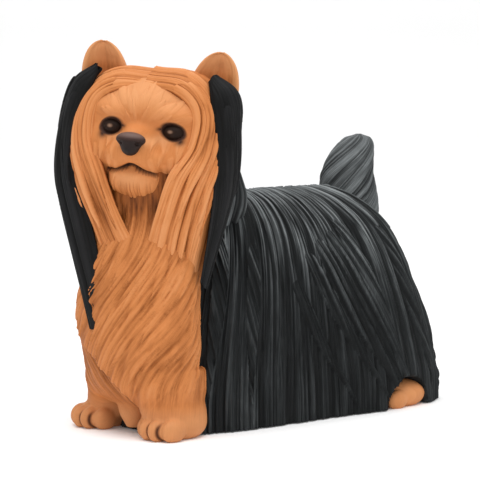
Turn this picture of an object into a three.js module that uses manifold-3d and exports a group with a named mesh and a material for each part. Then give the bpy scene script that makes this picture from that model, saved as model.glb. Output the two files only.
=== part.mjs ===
// A moulded toy figure of a Yorkshire terrier, standing with its head turned to its left.
// Millimetres, +Z up. The dog faces -Y, its left side is +X, and the origin is on the ground under its middle.
// The long coat is moulded with the body. It falls from a parting on the back to the hem at the ground,
// a fall of tan hair hangs at each side of the face, and a black fringe hangs from each ear.
import * as THREE from "three";
import { mergeVertices } from "three/addons/utils/BufferGeometryUtils.js";
import Module from "manifold-3d";

const wasm = await Module();
wasm.setup();

// Driving dimensions
const GAP = 0.3; // clear space between neighbouring pieces
const BACK_HEIGHT = 39.2; // parting of the coat above the ground
const COAT_HALF_WIDTH = 12.9; // at the hem
const HEM_FRONT = -24;
const HEM_BACK = 41;
const PART_FRONT = -12; // ends of the parting along the back
const PART_BACK = 20;
const HEAD_CENTRE = new THREE.Vector3(0.8, -20.5, 51.5);
const HEAD_YAW = 33; // degrees, turned to the dog's left
const HEAD_ROLL = 5.5; // degrees, tipped to the dog's left
const HANG_LEFT = 2; // how far the tips of the falls hang towards the dog's left of the tipped head
const HANG_RIGHT = 4.4;
const KNEE = 7.5; // hem of the chest over the front legs

// Colours
const COAT_GREY = 0x32373a;
const FRINGE_BLACK = 0x131415;
const TAN = 0xd08a50;
const NOSE_BROWN = 0x35272a;
const EYE_BROWN = 0x24150f;

// Numbers and curves
const clamp = (x, low, high) => Math.min(high, Math.max(low, x));
const mix = (a, b, t) => a + (b - a) * t;
const smooth = (x) => {
  const t = clamp(x, 0, 1);
  return t * t * (3 - 2 * t);
};
const radians = THREE.MathUtils.degToRad;
const vec = (x, y, z) => new THREE.Vector3(x, y, z);
const UP = vec(0, 0, 1);

// A table of rows [key, values...] read at any key, eased from row to row.
function table(rows, key) {
  const last = rows.length - 1;
  const sign = Math.sign(rows[last][0] - rows[0][0]);
  let i = 0;
  while (i < last - 1 && (rows[i + 1][0] - key) * sign < 0) i += 1;
  const t = clamp((key - rows[i][0]) / (rows[i + 1][0] - rows[i][0]), 0, 1);
  const before = rows[Math.max(i - 1, 0)];
  const after = rows[Math.min(i + 2, last)];
  return rows[i].slice(1).map((_, k) => {
    const [a, b, c, d] = [before, rows[i], rows[i + 1], after].map((row) => row[k + 1]);
    const slope = [(c - a) / 2, (d - b) / 2];
    return mix(b, c, t) + t * (1 - t) * ((1 - t) * (slope[0] - (c - b)) - t * (slope[1] - (c - b)));
  });
}

// Geometry into solids and back
function solidOf(geometry) {
  const bare = geometry.index ? geometry.toNonIndexed() : geometry.clone();
  for (const name of Object.keys(bare.attributes)) if (name !== "position") bare.deleteAttribute(name);
  const merged = mergeVertices(bare, 1e-4);
  return new wasm.Manifold(
    new wasm.Mesh({
      numProp: 3,
      vertProperties: merged.attributes.position.array,
      triVerts: new Uint32Array(merged.index.array),
    }),
  );
}

function geometryOf(solid) {
  const mesh = solid.getMesh();
  const geometry = new THREE.BufferGeometry();
  geometry.setAttribute("position", new THREE.BufferAttribute(new Float32Array(mesh.vertProperties), 3));
  geometry.setIndex(new THREE.BufferAttribute(new Uint32Array(mesh.triVerts), 1));
  geometry.computeVertexNormals();
  return geometry;
}

const union = (solids) => solids.reduce((a, b) => a.add(b));
const cut = (solid, ...tools) => tools.reduce((a, b) => a.subtract(b), solid);
const largest = (solid) => solid.decompose().reduce((a, b) => (b.volume() > a.volume() ? b : a));

// A closed skin over rings of points. Each end is closed by a fan, or across a flat ring from side to side.
function loft(rings, flat = false) {
  const count = rings[0].length;
  const middle = (ring) => ring.reduce((a, p) => a.add(p), new THREE.Vector3()).divideScalar(count);
  const points = rings.flat();
  const index = [];
  for (let i = 0; i + 1 < rings.length; i += 1) {
    for (let j = 0; j < count; j += 1) {
      const [a, b] = [i * count + j, i * count + ((j + 1) % count)];
      index.push(a, b, b + count, a, b + count, a + count);
    }
  }
  const last = (rings.length - 1) * count;
  if (flat) {
    for (let j = 0; j + 1 < count / 2; j += 1) {
      const [a, b, c, d] = [j, j + 1, count - 2 - j, count - 1 - j];
      index.push(b, a, c, a, d, c, last + a, last + b, last + c, last + a, last + c, last + d);
    }
  } else {
    points.push(middle(rings[0]), middle(rings[rings.length - 1]));
    for (let j = 0; j < count; j += 1) {
      const k = (j + 1) % count;
      index.push(points.length - 2, k, j, points.length - 1, last + j, last + k);
    }
  }
  const geometry = new THREE.BufferGeometry().setFromPoints(points);
  geometry.setIndex(index);
  const made = solidOf(geometry);
  return made.volume() < 0 ? solidOf(flipped(geometry)) : made;
}

function flipped(geometry) {
  const index = geometry.index.array;
  for (let i = 0; i < index.length; i += 3) [index[i], index[i + 1]] = [index[i + 1], index[i]];
  return geometry;
}

// Signed distances, for forms that run into one another
const ellipsoid = (centre, axes) => (p) => {
  const q = p.clone().sub(centre).divide(axes);
  const k = q.length();
  const slope = q.divide(axes).length();
  return slope < 1e-9 ? -Math.min(axes.x, axes.y, axes.z) : (k * (k - 1)) / slope;
};
const blend = (a, b, soft) => {
  const h = clamp(0.5 + (0.5 * (b - a)) / soft, 0, 1);
  return mix(b, a, h) - soft * h * (1 - h);
};
const carve = (a, b, soft) => -blend(-a, b, soft);

// The skin of a form that is all in sight from one inner point, grown by a given amount.
function starSolid(distance, centre, reach, detail, grow = 0) {
  const geometry = new THREE.IcosahedronGeometry(1, detail);
  const at = geometry.attributes.position;
  const direction = new THREE.Vector3();
  const far = (t) => distance(direction.clone().multiplyScalar(t).add(centre)) - grow;
  for (let i = 0; i < at.count; i += 1) {
    direction.fromBufferAttribute(at, i).normalize();
    let high = reach;
    while (high > 0.5 && far(high - 0.5) > 0) high -= 0.5;
    let low = high - 0.5;
    for (let n = 0; n < 14; n += 1) {
      const half = (low + high) / 2;
      if (far(half) > 0) high = half;
      else low = half;
    }
    const r = (low + high) / 2;
    at.setXYZ(i, centre.x + direction.x * r, centre.y + direction.y * r, centre.z + direction.z * r);
  }
  return solidOf(geometry);
}

// A hanging sheet of hair between three paths, front, middle and back, each from root to tip.
// Its rings go down the outer face from front to back and return on the inner face.
function sheetSolid({ paths, thickness, tips, length = {} }, side, columns, rows, grow = 0) {
  const hang = (z) => (side > 0 ? HANG_LEFT : HANG_RIGHT) * smooth((-4 - z) / 26);
  const curves = paths.map(
    (path) => new THREE.CatmullRomCurve3(
      path.map(([x, y, z]) => vec(side * x + hang(z), y, z < 0 ? z * (length[side] ?? 1) : z)),
    ),
  );
  const midway = (v, s) => {
    const [a, b, c] = curves.map((curve) => curve.getPoint(clamp(s, 0, 1)));
    const weights = [(1 - v) * (1 - 2 * v), 4 * v * (1 - v), v * (2 * v - 1)];
    return a.multiplyScalar(weights[0]).addScaledVector(b, weights[1]).addScaledVector(c, weights[2]);
  };
  const outward = (v, s) => {
    const across = midway(Math.min(v + 0.05, 1), s).sub(midway(Math.max(v - 0.05, 0), s));
    const along = midway(v, Math.min(s + 0.03, 1)).sub(midway(v, Math.max(s - 0.03, 0)));
    return along.cross(across).multiplyScalar(side).normalize();
  };
  const reach = (v) => 1 - tips.depth * Math.abs(2 * ((v * tips.count) % 1) - 1);
  const rings = [];
  for (let i = 0; i <= rows; i += 1) {
    const outer = [];
    const inner = [];
    for (let j = 0; j <= columns; j += 1) {
      const v = j / columns;
      const s = (i / rows) * reach(v);
      const edge = Math.sqrt(Math.max(0.06, 1 - (2 * v - 1) ** 4));
      const taper = mix(1, 0.22, smooth((i / rows - 0.6) / 0.4)) * mix(0.5, 1, smooth((i / rows) * 4));
      const half = (thickness / 2) * edge * taper + grow;
      const [centre, normal] = [midway(v, s), outward(v, s)];
      outer.push(centre.clone().addScaledVector(normal, half));
      inner.push(centre.addScaledVector(normal, -half));
    }
    rings.push([...outer, ...inner.reverse()]);
  }
  return loft(rings, true);
}

// Body coat: rows of [share along the strand, share of the half width, height, share of the fan-out in length].
const COAT_PROFILE = [
  [0, 0.02, 39.2, 0],
  [0.06, 0.24, 38.7, 0.07],
  [0.13, 0.5, 37, 0.21],
  [0.24, 0.74, 33.4, 0.4],
  [0.38, 0.88, 28.2, 0.55],
  [0.53, 0.945, 22, 0.69],
  [0.72, 0.975, 13.6, 0.87],
  [0.88, 0.99, 6, 0.98],
  [1, 1, 0.2, 1],
];
const PLAN_POWER = 2 / 3.6; // how square the coat is from above
const HAUNCH = 1.3; // how far the thighs push the coat out
const squared = (x) => Math.sign(x) * Math.abs(x) ** PLAN_POWER;

// Angles spaced evenly along the hem.
function evenAngles(count) {
  const samples = 1440;
  const at = (i) => {
    const a = (2 * Math.PI * i) / samples;
    return [squared(Math.cos(a)) * COAT_HALF_WIDTH, (squared(Math.sin(a)) * (HEM_BACK - HEM_FRONT)) / 2];
  };
  const reach = [0];
  for (let i = 1; i <= samples; i += 1) {
    const [a, b] = [at(i - 1), at(i)];
    reach.push(reach[i - 1] + Math.hypot(b[0] - a[0], b[1] - a[1]));
  }
  let i = 0;
  return Array.from({ length: count }, (_, j) => {
    const want = (reach[samples] * j) / count;
    while (reach[i + 1] < want) i += 1;
    return (2 * Math.PI * (i + (want - reach[i]) / (reach[i + 1] - reach[i]))) / samples;
  });
}

function coatPoint(angle, t, grow) {
  const [share, z, fan] = table(COAT_PROFILE, t);
  const [cx, cy] = [squared(Math.cos(angle)), squared(Math.sin(angle))];
  const y = mix(mix(PART_FRONT, PART_BACK, (cy + 1) / 2), mix(HEM_FRONT, HEM_BACK, (cy + 1) / 2), fan);
  const haunch = HAUNCH * smooth((y - 8) / 18) * smooth(t / 0.5);
  const out = new THREE.Vector3(cx, cy * 0.8, 0).normalize();
  const lift = smooth(t / 0.16);
  const normal = out.multiplyScalar(lift).add(new THREE.Vector3(0, 0, 1 - lift)).normalize();
  return new THREE.Vector3(cx * (share * COAT_HALF_WIDTH + haunch), y, z).addScaledVector(normal, grow);
}

function coatSolid(columns, rows, grow = 0) {
  const angles = evenAngles(columns);
  const rings = [];
  for (let i = 0; i <= rows; i += 1) rings.push(angles.map((angle) => coatPoint(angle, i / rows, grow)));
  return loft(rings);
}

// Dark hair at the nape, from the back of the head to the withers.
// Rows of [height, middle x, middle y, half width, half depth, turn to the left].
const NAPE = [
  [30, 0, -9.5, 10.2, 8, 0],
  [36, 0, -10.8, 10.2, 8.4, 4],
  [41, 0.3, -13.2, 10, 7.8, 14],
  [46, 0.4, -15, 9.6, 7, 24],
  [51, 0.2, -16.2, 9, 6.2, 30],
  [55, 0.2, -17, 7.4, 5, 33],
  [57.4, 0.3, -17.6, 4.6, 3.2, 33],
];

// Tan chest, from the throat down to the knees: rows as for the nape.
const CHEST = [
  [43.5, 2.2, -22.4, 7.6, 6.2, 33],
  [40, 2.2, -22.4, 8.6, 6.4, 33],
  [34, 1.6, -22.6, 9.2, 6.8, 28],
  [28, 1, -23.4, 10.4, 7.6, 18],
  [22, 0.6, -24, 11.6, 8.2, 8],
  [17, 0.5, -24.2, 12.2, 8, 2],
  [12, 0.7, -24, 11.6, 7.6, 0],
  [6, 0.9, -23.4, 11.4, 7, 0],
];

function columnSolid(rows, columns, steps, grow = 0) {
  const [top, bottom] = [rows[0][0], rows[rows.length - 1][0]];
  const rings = [];
  for (let i = 0; i <= steps; i += 1) {
    const t = i / steps;
    const z = mix(top, bottom, t);
    const [x, y, a, b, turn = 0] = table(rows, z);
    const outward = Math.sign(top - bottom) * grow;
    const end = i === 0 ? outward : i === steps ? -outward : 0;
    rings.push(
      Array.from({ length: columns }, (_, j) => {
        const angle = (2 * Math.PI * j) / columns;
        const arm = vec(Math.cos(angle) * (a + grow), Math.sin(angle) * (b + grow), z + end);
        return arm.applyAxisAngle(UP, radians(turn)).add(vec(x, y, 0));
      }),
    );
  }
  return loft(rings);
}

// Legs: a column of hair over each paw. Rows of [height, middle x, middle y, half sizes].
const FRONT_LEG_LEFT = [
  [11, 7, -23.4, 5.4, 6.4],
  [7, 7.4, -23.2, 5.2, 6.2],
  [4.4, 7.9, -22.8, 5, 5.8],
  [2, 8.2, -22.4, 4.6, 5.4],
];
const FRONT_LEG_RIGHT = [
  [11, -6.2, -23, 5.2, 6],
  [7, -6.8, -22.8, 4.6, 5.6],
  [4.4, -7.4, -22.4, 4.2, 5.2],
  [2, -7.6, -22, 4.2, 5],
];

// A paw with four toes, flat on the ground.
function pawDistance(x, y, length, width, height) {
  const form = (dx, dy, dz, a, b, c) =>
    ellipsoid(new THREE.Vector3(x + dx, y + dy, dz), new THREE.Vector3(a, b, c));
  const pad = form(0, length * 0.08, height * 0.42, width * 0.47, length * 0.46, height * 0.56);
  const toes = [-1.5, -0.5, 0.5, 1.5].map((n) =>
    form(
      n * width * 0.235,
      -length * (0.36 - 0.07 * Math.abs(n) ** 1.5),
      height * 0.3,
      width * 0.155,
      length * 0.2,
      height * 0.36,
    ),
  );
  return (p) => toes.reduce((d, toe) => blend(d, toe(p), 0.35), pad(p));
}

function pawSolid([x, y], { length, width, height }, detail, grow = 0) {
  const centre = new THREE.Vector3(x, y - length * 0.04, height * 0.38);
  const round = starSolid(pawDistance(x, y, length, width, height), centre, length, detail, grow);
  return grow ? round : round.trimByPlane([0, 0, 1], 0);
}
const FRONT_PAW = { length: 11.4, width: 8.8, height: 5.6 };
const HIND_PAW = { length: 11, width: 7.4, height: 4.8 };
const PAWS = {
  frontLeft: [8.9, -23.6],
  frontRight: [-8.4, -23.8],
  hindLeft: [9.7, 27.8],
  hindRight: [-9.7, 27.8],
};

// The coat stands clear of each hind paw in an arch.
const hemArch = (side) =>
  solidOf(
    new THREE.SphereGeometry(1, 20, 12)
      .scale(6.5, 5.4, 5.6)
      .translate(side * 12.6, PAWS.hindLeft[1] - 0.4, 0),
  );

// Head, in its own frame: x to the dog's left, -y forward, z up, from HEAD_CENTRE.
const EYE = vec(5.1, -7.6, -1);
const EYE_SIZE = 1.6;
const HEAD_FORMS = [
  [vec(0, 0.4, 0.3), vec(9.5, 9.2, 7.7), 1.5],
  [vec(0, -3.2, 1.9), vec(7.6, 5.9, 4.9), 1.2],
  [vec(0, -7.6, -4.6), vec(4.2, 4.9, 3.3), 1.6],
  [vec(0, -7.8, -2.3), vec(2.3, 4.4, 1.9), 1.2],
  [vec(0, -7.2, -9.6), vec(3.7, 3.7, 2.3), 0.7],
];
const PAIRED_FORMS = [
  [vec(2.5, -8.4, -5.7), vec(2.8, 3.3, 2.3), 0.7],
  [vec(5.8, -4.2, -5.2), vec(4.1, 4.6, 5.2), 1.4],
  [vec(4.6, -6.5, 1.4), vec(2.9, 2.3, 1.5), 1],
  [vec(6.6, -3.6, -0.5), vec(3.4, 3.6, 5.5), 1.5],
];
const SOCKET = [vec(5.3, -9.1, -1), vec(2.1, 1.5, 1.3)];
const mirrored = (v) => vec(-v.x, v.y, v.z);

function headDistance() {
  const forms = [
    ...HEAD_FORMS,
    ...PAIRED_FORMS,
    ...PAIRED_FORMS.map(([centre, axes, soft]) => [mirrored(centre), axes, soft]),
  ].map(([centre, axes, soft]) => [ellipsoid(centre, axes), soft]);
  const sockets = [SOCKET[0], mirrored(SOCKET[0])].map((centre) => ellipsoid(centre, SOCKET[1]));
  return (p) => {
    const solid = forms.reduce((d, [form, soft]) => blend(d, form(p), soft), 1e3);
    const mouthHeight = -8.1 + 1.3 * Math.exp(-((p.x / 1.9) ** 2));
    const lip = Math.exp(-(((p.z - mouthHeight) / 0.5) ** 2)) * smooth((5 - Math.abs(p.x)) / 0.8);
    const groove = p.y < -5 ? 0.55 * lip : 0;
    return sockets.reduce((d, socket) => carve(d, socket(p), 0.8), solid) + groove;
  };
}
const HEAD_HEART = vec(0, -3.4, -2.4);
const headSolid = (detail, grow = 0) => starSolid(headDistance(), HEAD_HEART, 20, detail, grow);

// Ear: rings from its root in the hair to its rounded tip, hollowed at the front.
function earSolid(side, grow = 0) {
  const rings = [];
  const steps = 9;
  for (let i = 0; i <= steps; i += 1) {
    const t = i / steps;
    const z = mix(3.4, 12.1 + grow, t);
    const half = 4.3 * Math.sqrt(Math.max(1 - t ** 2.4, 0.012)) + grow;
    const thick = mix(2.3, 1.1, t) * Math.sqrt(Math.max(1 - t ** 4, 0.03)) + grow;
    const middle = mix(9, 10.1, t);
    rings.push(
      Array.from({ length: 16 }, (_, j) => {
        const a = (2 * Math.PI * j) / 16;
        const front = Math.sin(a) < -0.1 ? (1 - Math.abs(Math.cos(a))) * 1.5 * (1 - t) : 0;
        const lean = mix(1.6, 1, t);
        return vec(
          side * (middle + Math.cos(a) * half),
          lean + Math.sin(a) * thick - Math.cos(a) ** 2 * 0.9 + front,
          z,
        );
      }),
    );
  }
  return loft(rings);
}

// The fall of hair at the dog's left side of the face, from the parting on the crown past the cheek.
const FALL = {
  paths: [
    [
      [0.5, -6.3, 5.9], [4.6, -6.9, 4.8], [7.7, -6.7, 1.8], [7.9, -7.2, -3],
      [5.6, -9, -8], [3.6, -10, -14.5], [1.4, -10.2, -21],
    ],
    [
      [0.5, -0.8, 8.2], [6.4, -1.4, 7.2], [10.7, -1.8, 1.8], [11.5, -3.4, -4.5],
      [10.3, -5.4, -11], [8.8, -6.8, -18], [7, -7.6, -27],
    ],
    [
      [0.5, 4.3, 7.2], [6.4, 4.4, 6.3], [10.8, 3.6, 1.4], [12, 2.2, -5.5],
      [11.9, 0.6, -12], [11.2, -1.2, -18.5], [10.4, -3.2, -29],
    ],
  ],
  thickness: 2.6,
  tips: { count: 4, depth: 0.12 },
};

// The black fringe that hangs from the ear, outside the fall.
const FRINGE = {
  paths: [
    [
      [8.6, -3.4, 6.6], [9.8, -4.4, 3.4], [11.4, -4.6, -1.5],
      [12, -5, -7.5], [11.8, -6, -15], [10, -6.8, -26],
    ],
    [
      [9.6, -2.2, 8], [12.6, -2.4, 5], [14.4, -2, -1],
      [14.8, -2.4, -7.5], [14.2, -3.2, -15], [11, -5.4, -28],
    ],
    [
      [10.4, -1.2, 8], [13.2, 0.4, 4.8], [14.4, 1.4, -1],
      [14.4, 1.2, -7.5], [13.8, -0.2, -15], [11.2, -3.6, -26],
    ],
  ],
  thickness: 2.4,
  tips: { count: 1, depth: 0.08 },
  length: { [-1]: 1.15 }, // the right one hangs lower
};

// Tail: rows of [height, middle x, middle y, half width, half length].
const TAIL = [
  [31.5, 0, 24.5, 4.8, 6.4],
  [35, 0, 24.8, 4.8, 6.2],
  [38.4, 0, 24.9, 4.5, 5.6],
  [41.4, 0, 24.9, 4.1, 5.2],
  [44.2, 0, 25.8, 3.6, 4.4],
  [46.4, 0, 27, 2.5, 2.9],
  [47.9, 0, 27.8, 1.1, 1.2],
];

const headFrame = new THREE.Matrix4().compose(
  HEAD_CENTRE,
  new THREE.Quaternion().setFromEuler(new THREE.Euler(0, radians(HEAD_ROLL), radians(HEAD_YAW), "ZYX")),
  new THREE.Vector3(1, 1, 1),
);
const placed = (solid) => solid.transform(headFrame.elements);

// The pieces, and each grown by the gap as a cutter that keeps the next one clear of it.
const head = placed(headSolid(8));
const headGrown = placed(headSolid(5, GAP));
const noseForm = (grow) =>
  starSolid(
    (p) =>
      blend(
        ellipsoid(vec(0, -12.4, -2.2), vec(2.45, 1.5, 1.35))(p),
        ellipsoid(vec(0, -12.4, -3.5), vec(1.4, 1.3, 1.3))(p),
        0.8,
      ),
    vec(0, -12.4, -2.6),
    5,
    2,
    grow,
  );
const eyeForm = (side, grow) =>
  solidOf(
    new THREE.SphereGeometry(EYE_SIZE + grow, 12, 8)
      .scale(1, 0.85, 0.85)
      .translate(side * EYE.x, EYE.y + 0.3, EYE.z),
  );
const nape = columnSolid(NAPE, 24, 8);
const napeGrown = columnSolid(NAPE, 24, 8, GAP);
const chest = columnSolid(CHEST, 32, 10);
const chestGrown = columnSolid(CHEST, 32, 10, GAP);
const coat = coatSolid(56, 12);
const coatGrown = coatSolid(56, 12, GAP);
const bothSides = (make) => ({ 1: placed(make(1)), [-1]: placed(make(-1)) });
const ears = bothSides((side) => earSolid(side));
const earsGrown = union(Object.values(bothSides((side) => earSolid(side, GAP))));
const falls = bothSides((side) => sheetSolid(FALL, side, 12, 10));
const fallsGrown = union(Object.values(bothSides((side) => sheetSolid(FALL, side, 12, 10, GAP))));
const fringes = bothSides((side) => sheetSolid(FRINGE, side, 8, 8));
const tail = columnSolid(TAIL, 24, 8);
const legsGrown = union([
  columnSolid(FRONT_LEG_LEFT, 20, 5, GAP),
  columnSolid(FRONT_LEG_RIGHT, 20, 5, GAP),
]);
const slab = (low, high) =>
  solidOf(
    new THREE.BoxGeometry(high[0] - low[0], high[1] - low[1], high[2] - low[2]).translate(
      (low[0] + high[0]) / 2,
      (low[1] + high[1]) / 2,
      (low[2] + high[2]) / 2,
    ),
  );
const belowKnees = slab([-40, -60, -5], [40, -5, KNEE + GAP / 2]);
const aboveKnees = slab([-40, -60, KNEE - GAP / 2], [40, -5, 60]);
const midline = slab([-GAP / 2 - 0.3, -60, -5], [GAP / 2 - 0.3, 10, 13]);

const eyeHoles = union([1, -1].map((side) => placed(eyeForm(side, GAP))));
const noseHole = placed(noseForm(GAP));
const frontLegs = [
  union([columnSolid(FRONT_LEG_LEFT, 20, 5), pawSolid(PAWS.frontLeft, FRONT_PAW, 6)]),
  union([columnSolid(FRONT_LEG_RIGHT, 20, 5), pawSolid(PAWS.frontRight, FRONT_PAW, 6)]),
].map((leg) => cut(leg.trimByPlane([0, 0, 1], 0), aboveKnees, midline));
const frontPawsGrown = union(
  [PAWS.frontLeft, PAWS.frontRight].map((at) => pawSolid(at, FRONT_PAW, 4, GAP + 0.1)),
);
const hindPaws = [PAWS.hindLeft, PAWS.hindRight].map((at) => pawSolid(at, HIND_PAW, 4));
const hindPawsGrown = union(
  [PAWS.hindLeft, PAWS.hindRight].map((at) => pawSolid(at, HIND_PAW, 4, GAP + 0.1)),
);

const headGroup = new THREE.Group();
headGroup.position.copy(HEAD_CENTRE);
headGroup.rotation.set(0, radians(HEAD_ROLL), radians(HEAD_YAW), "ZYX");
const figure = new THREE.Group();
figure.add(headGroup);

const paints = {
  coat: new THREE.MeshStandardMaterial({ color: COAT_GREY, roughness: 0.55 }),
  black: new THREE.MeshStandardMaterial({ color: FRINGE_BLACK, roughness: 0.5 }),
  tan: new THREE.MeshStandardMaterial({ color: TAN, roughness: 0.6 }),
  nose: new THREE.MeshStandardMaterial({ color: NOSE_BROWN, roughness: 0.4 }),
  eye: new THREE.MeshStandardMaterial({ color: EYE_BROWN, roughness: 0.2 }),
};

function addPiece(name, solid, paint, group = figure) {
  const geometry = geometryOf(largest(solid));
  if (group === headGroup) geometry.applyMatrix4(headFrame.clone().invert());
  const mesh = new THREE.Mesh(geometry, paints[paint]);
  mesh.name = name;
  group.add(mesh);
}

addPiece("head", cut(head, eyeHoles, noseHole, chestGrown, napeGrown), "tan", headGroup);
addPiece("nape", cut(nape, chestGrown, coatGrown), "coat");
addPiece("chest", cut(chest, belowKnees), "tan");
const aroundLegs = [legsGrown, hemArch(1), hemArch(-1), hindPawsGrown, frontPawsGrown];
addPiece("torso", cut(coat, chestGrown, ...aroundLegs), "coat");
addPiece("front_leg_left", frontLegs[0], "tan");
addPiece("front_leg_right", frontLegs[1], "tan");
addPiece("hind_leg_left", hindPaws[0], "tan");
addPiece("hind_leg_right", hindPaws[1], "tan");
addPiece("tail", cut(tail, coatGrown), "coat");
addPiece("nose", placed(noseForm(0)), "nose", headGroup);
for (const [side, word] of [[1, "left"], [-1, "right"]]) {
  const inner = [headGrown, chestGrown, napeGrown, coatGrown];
  addPiece(`eye_${word}`, placed(eyeForm(side, 0)), "eye", headGroup);
  addPiece(`ear_${word}`, cut(ears[side], headGrown, napeGrown, fallsGrown), "tan", headGroup);
  addPiece(`hair_fall_${word}`, cut(falls[side], ...inner, midPart(side)), "tan", headGroup);
  addPiece(`ear_fringe_${word}`, cut(fringes[side], ...inner, fallsGrown, earsGrown), "black", headGroup);
}

// The falls keep clear of each other at the parting on the crown.
function midPart(side) {
  const [left, right] = side > 0 ? [-20, GAP / 2] : [-GAP / 2, 20];
  return placed(slab([left, -30, -40], [right, 30, 40]));
}

// The origin is under the middle of the figure's box.
figure.updateMatrixWorld(true);
const box = new THREE.Box3().setFromObject(figure, true);
figure.position.set(-(box.min.x + box.max.x) / 2, -(box.min.y + box.max.y) / 2, -box.min.z);

export default figure;
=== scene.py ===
"""A moulded, painted toy figure of a Yorkshire terrier on a pale studio floor.

Shapes are worked out in millimetres, on the figure as it stands before its box is centred, and every piece
is moved and scaled onto the CAD frame as it is made. The dog faces -Y and its left side is +X.
"""

import bpy
import numpy as np
from mathutils import Matrix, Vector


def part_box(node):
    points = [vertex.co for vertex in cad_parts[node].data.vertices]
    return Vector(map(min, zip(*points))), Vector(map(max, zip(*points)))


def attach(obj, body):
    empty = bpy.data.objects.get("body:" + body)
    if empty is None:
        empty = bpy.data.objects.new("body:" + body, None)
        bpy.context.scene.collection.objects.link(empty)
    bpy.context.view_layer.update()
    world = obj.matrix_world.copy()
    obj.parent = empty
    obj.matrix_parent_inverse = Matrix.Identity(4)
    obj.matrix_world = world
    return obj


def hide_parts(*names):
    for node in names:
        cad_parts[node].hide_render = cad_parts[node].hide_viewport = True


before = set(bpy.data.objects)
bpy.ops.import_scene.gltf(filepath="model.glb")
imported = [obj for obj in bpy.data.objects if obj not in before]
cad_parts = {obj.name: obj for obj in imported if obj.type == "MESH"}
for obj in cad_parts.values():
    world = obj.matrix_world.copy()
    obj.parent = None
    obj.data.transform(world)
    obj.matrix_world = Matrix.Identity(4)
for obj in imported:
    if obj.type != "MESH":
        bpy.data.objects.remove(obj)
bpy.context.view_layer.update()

MM = 0.001
SIDES = ((1, "left"), (-1, "right"))
HEAD_CENTRE = np.array([0.8, -20.5, 51.5])
HEAD_YAW, HEAD_ROLL = np.radians(33), np.radians(5.5)
EYE = np.array([5.1, -7.3, -1.0])  # the middle of the CAD model's left eye, in the head's own frame


# Numbers and curves

def mix(a, b, t):
    return a + (b - a) * t


def smooth(x):
    t = np.clip(x, 0, 1)
    return t * t * (3 - 2 * t)


def unit(v):
    return v / np.maximum(np.linalg.norm(v, axis=-1, keepdims=True), 1e-12)


def bell(x, power=2):
    """1 at the middle and down to nothing beside it."""
    return np.exp(-(x**power))


def full_turn(count):
    """Angles evenly spaced all round."""
    return np.linspace(0, 2 * np.pi, count, endpoint=False)


def direction(azimuth, elevation):
    """Directions at angles round from the front, towards the dog's left, and up."""
    x, y = np.sin(azimuth) * np.cos(elevation), -np.cos(azimuth) * np.cos(elevation)
    return np.stack([x, y, np.sin(elevation)], -1)


def table(rows, keys):
    """Rows of [key, values...] read at any keys, eased from row to row."""
    rows = np.array(rows, float)
    keys = np.asarray(keys, float)
    sign = np.sign(rows[-1, 0] - rows[0, 0])
    i = np.clip(np.searchsorted(rows[:, 0] * sign, keys * sign, side="right") - 1, 0, len(rows) - 2)
    a, b, c, d = (rows[np.clip(i + k, 0, len(rows) - 1)] for k in (-1, 0, 1, 2))
    t = np.clip((keys - b[..., 0]) / (c[..., 0] - b[..., 0]), 0, 1)[..., None]
    first, second = (c - a) / 2 - (c - b), (d - b) / 2 - (c - b)
    return (mix(b, c, t) + t * (1 - t) * ((1 - t) * first - t * second))[..., 1:]


def catmull(points, s):
    """A curve through points, at shares s from 0 to 1."""
    points = np.array(points, float)
    k = np.clip(s, 0, 1) * (len(points) - 1)
    i = np.minimum(k.astype(int), len(points) - 2)
    t = (k - i)[..., None]
    ends = np.vstack([2 * points[0] - points[1], points, 2 * points[-1] - points[-2]])
    a, b, c, d = (ends[i + n] for n in range(4))
    return 0.5 * (2 * b + (c - a) * t + (2 * a - 5 * b + 4 * c - d) * t**2 + (3 * b - a - 3 * c + d) * t**3)


# The head's frame, and the figure's place in the CAD frame

def turned(yaw, roll):
    """The rotation of the head: tipped to its left, then turned to its left."""
    tip = np.array([[np.cos(roll), 0, np.sin(roll)], [0, 1, 0], [-np.sin(roll), 0, np.cos(roll)]])
    turn = np.array([[np.cos(yaw), -np.sin(yaw), 0], [np.sin(yaw), np.cos(yaw), 0], [0, 0, 1]])
    return turn @ tip


HEAD_TURN = turned(HEAD_YAW, HEAD_ROLL)


def on_head(points):
    """Points of the head's own frame, placed on the figure."""
    return points @ HEAD_TURN.T + HEAD_CENTRE


def box_middle(node):
    """The middle of a CAD node's box, in millimetres."""
    low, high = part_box(node)
    return (np.array(low) + np.array(high)) / 2 / MM


# The CAD model is centred on its own box, so the eyes, whose middles are known, tell how far it was moved.
SHIFT = np.mean([box_middle(f"eye_{word}") - on_head(EYE * [side, 1, 1]) for side, word in SIDES], axis=0)


# Sculpted strands and locks

def noise(x, y, period, seed):
    """Smooth noise from 0 to 1 on a plane of unit cells, which repeats across after a period of them."""
    i, j = np.floor(x), np.floor(y)
    fx, fy = smooth(x - i), smooth(y - j)

    def corner(a, b):
        value = np.sin((a % period) * 127.1 + b * 311.7 + seed * 74.7) * 43758.5453
        return value - np.floor(value)

    return mix(mix(corner(i, j), corner(i + 1, j), fx), mix(corner(i, j + 1), corner(i + 1, j + 1), fx), fy)


def strands(share, down, layers, seed, sway=0.3):
    """Hair as a height from 0 to 1: rounded strands with sharp grooves between, and finer strands on each.

    Layers are [strands across the whole, length in millimetres, part of the height].
    """
    count, length, _ = layers[0]
    drift = noise(share * count / 3, down / length * 1.6, max(count // 3, 1), seed + 9) * 2 - 1
    share = share + sway / count * drift
    height = 0
    for k, (count, length, part) in enumerate(layers):
        ridge = np.abs(2 * noise(share * count, down / length, count, seed + k) - 1)
        height = height + part * np.minimum(ridge * 1.7, 1) ** 0.75
    return height


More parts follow.
